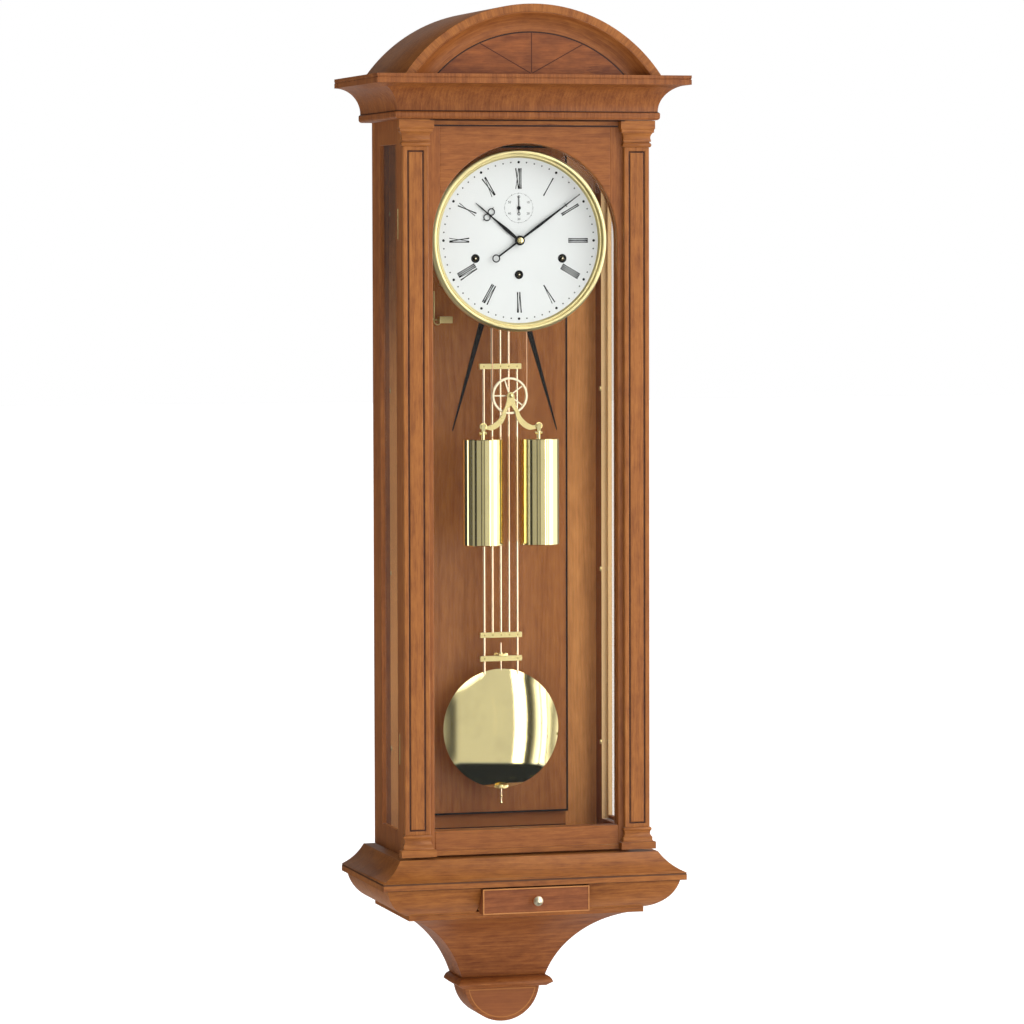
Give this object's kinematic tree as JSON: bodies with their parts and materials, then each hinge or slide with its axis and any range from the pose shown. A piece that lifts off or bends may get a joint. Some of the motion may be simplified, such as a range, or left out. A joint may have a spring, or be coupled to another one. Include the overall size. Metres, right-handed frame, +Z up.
{
  "type": "vienna regulator clock",
  "caption": "Glazed wall regulator clock with arched pediment, pilastered door, drawer, corbel, gridiron pendulum, twin weights on one pulley, and a geared movement behind a round dial.",
  "frame": {"origin": "centre of the hanger hole, on the plane of the wall", "axes": "+Z up along the case, +Y into the wall, -Y out of the front, +X to the viewer's right"},
  "size_m": [0.4322, 0.243, 1.3788],
  "materials": {
    "case_wood": "satin lacquer",
    "panel_veneer": "satin lacquer",
    "carcass_wood": "matt",
    "ebony": "satin",
    "brass": "polished",
    "steel": "satin",
    "blackened_steel": "gloss",
    "enamel": "satin",
    "clear_glass": "clear"
  },
  "bodies": {
    "case": {"back_board": "carcass_wood", "hanger_plate": "steel", "side_frames": "case_wood", "side_glasses": "clear_glass", "glass_clips": "brass", "case_boards": "carcass_wood", "cornice": "case_wood", "pediment_hood": "case_wood", "pediment_moulding": "case_wood", "tympanum": "case_wood", "veneer_panel": "panel_veneer", "case_stringing": "ebony", "base_moulding": "case_wood", "corbel": "case_wood", "corbel_pendant": "case_wood", "case_hardware": "brass", "dial": "enamel", "winding_grommets": "blackened_steel", "dial_bezel": "brass", "movement_plates": "brass", "movement_bracket": "steel", "ebony_pointers": "ebony", "gong": "brass"},
    "door": {"door_stiles": "case_wood", "door_rails": "case_wood", "door_glass": "clear_glass", "glass_beads": "case_wood", "pilaster_shafts": "case_wood", "pilaster_stringing": "ebony", "pilaster_capitals": "case_wood", "pilaster_bases": "case_wood", "door_hardware": "brass"},
    "drawer": {"drawer_front": "case_wood", "drawer_box": "carcass_wood", "drawer_knob": "brass"},
    "pendulum": {"pendulum_rods": "brass", "pendulum_crossbars": "brass", "pendulum_bob": "brass", "rating_nuts": "brass", "suspension_spring": "steel"},
    "anchor": {"pallet_anchor": "steel"},
    "minute": {"minute_hand": "blackened_steel", "centre_arbor": "brass"},
    "hour": {"hour_hand": "blackened_steel", "hour_wheel": "brass"},
    "motion": {"minute_wheel": "brass"},
    "third": {"third_arbor": "brass"},
    "seconds": {"seconds_hand": "blackened_steel", "escape_arbor": "brass"},
    "middle": {"middle_arbor": "brass"},
    "great": {"great_wheel": "brass"},
    "strike": {"strike_barrel": "brass"},
    "chime": {"chime_barrel": "brass"},
    "weight_carriage": {"cable_loop": "steel", "cable_strands": "steel"},
    "drum": {"cable_drum": "brass"},
    "weight_pulley": {"pulley": "brass"},
    "yoke": {"pulley_yoke": "brass"},
    "left_weight": {"weight_left": "brass"},
    "right_weight": {"weight_right": "brass"}
  },
  "joints": [
    {"name": "door_hinge", "type": "hinge", "parent": "case", "child": "door", "pos_m": [-0.1672, -0.161, -0.5], "axis": [0, 0, -1], "range_deg": [0, 110]},
    {"name": "drawer_slide", "type": "slide", "parent": "case", "child": "drawer", "axis": [0, -1, 0], "range_m": [0, 0.11]},
    {"name": "pendulum_swing", "type": "hinge", "parent": "case", "child": "pendulum", "pos_m": [0, -0.057, -0.1132], "axis": [0, 1, 0], "range_deg": [-3, 3]},
    {"name": "anchor_swing", "type": "hinge", "parent": "case", "child": "anchor", "pos_m": [0, -0.057, -0.1132], "axis": [0, 1, 0], "range_deg": [-3, 3]},
    {"name": "minute_spin", "type": "hinge", "parent": "case", "child": "minute", "pos_m": [0, -0.1045, -0.1771], "axis": [0, 1, 0], "continuous": true},
    {"name": "hour_spin", "type": "hinge", "parent": "case", "child": "hour", "pos_m": [0, -0.1045, -0.1771], "axis": [0, 1, 0], "continuous": true},
    {"name": "motion_spin", "type": "hinge", "parent": "case", "child": "motion", "pos_m": [0.0125, -0.1045, -0.1771], "axis": [0, 1, 0], "continuous": true},
    {"name": "third_spin", "type": "hinge", "parent": "case", "child": "third", "pos_m": [-0.01176, -0.1045, -0.1538], "axis": [0, 1, 0], "continuous": true},
    {"name": "seconds_spin", "type": "hinge", "parent": "case", "child": "seconds", "pos_m": [0, -0.1045, -0.1336], "axis": [0, 1, 0], "continuous": true},
    {"name": "middle_spin", "type": "hinge", "parent": "case", "child": "middle", "pos_m": [0.02142, -0.1045, -0.19166], "axis": [0, 1, 0], "continuous": true},
    {"name": "great_spin", "type": "hinge", "parent": "case", "child": "great", "pos_m": [0, -0.1045, -0.2228], "axis": [0, 1, 0], "continuous": true},
    {"name": "strike_wind", "type": "hinge", "parent": "case", "child": "strike", "pos_m": [-0.0605, -0.1045, -0.2011], "axis": [0, 1, 0], "continuous": true},
    {"name": "chime_wind", "type": "hinge", "parent": "case", "child": "chime", "pos_m": [0.0605, -0.1045, -0.2011], "axis": [0, 1, 0], "continuous": true},
    {"name": "weight_fall", "type": "slide", "parent": "case", "child": "weight_carriage", "axis": [0, 0, -1], "range_m": [-0.05, 0.385], "deforming": ["cable_strands"]},
    {"name": "drum_spin", "type": "hinge", "parent": "case", "child": "drum", "pos_m": [0, -0.1045, -0.2228], "axis": [0, 1, 0], "range_deg": [-244, 1843]},
    {"name": "pulley_spin", "type": "hinge", "parent": "weight_carriage", "child": "weight_pulley", "pos_m": [0, -0.1045, -0.3862], "axis": [0, 1, 0], "range_deg": [-124, 924]},
    {"name": "yoke_rock", "type": "hinge", "parent": "weight_carriage", "child": "yoke", "pos_m": [0, -0.1045, -0.3862], "axis": [0, 1, 0], "range_deg": [-3, 3]},
    {"name": "left_weight_hang", "type": "hinge", "parent": "yoke", "child": "left_weight", "pos_m": [-0.039, -0.1045, -0.4272], "axis": [0, 1, 0], "range_deg": [-3, 3]},
    {"name": "right_weight_hang", "type": "hinge", "parent": "yoke", "child": "right_weight", "pos_m": [0.039, -0.1045, -0.4272], "axis": [0, 1, 0], "range_deg": [-3, 3]}
  ],
  "couplings": [
    {"joint": "anchor_swing", "follows": "pendulum_swing", "ratio": 1},
    {"joint": "hour_spin", "follows": "minute_spin", "ratio": 0.083333},
    {"joint": "motion_spin", "follows": "minute_spin", "ratio": -0.33333},
    {"joint": "third_spin", "follows": "minute_spin", "ratio": -8},
    {"joint": "seconds_spin", "follows": "minute_spin", "ratio": 60},
    {"joint": "middle_spin", "follows": "minute_spin", "ratio": -0.23333},
    {"joint": "great_spin", "follows": "minute_spin", "ratio": 0.029167},
    {"joint": "drum_spin", "follows": "weight_fall", "rad_per_m": 83.333},
    {"joint": "pulley_spin", "follows": "weight_fall", "rad_per_m": 41.667}
  ]
}
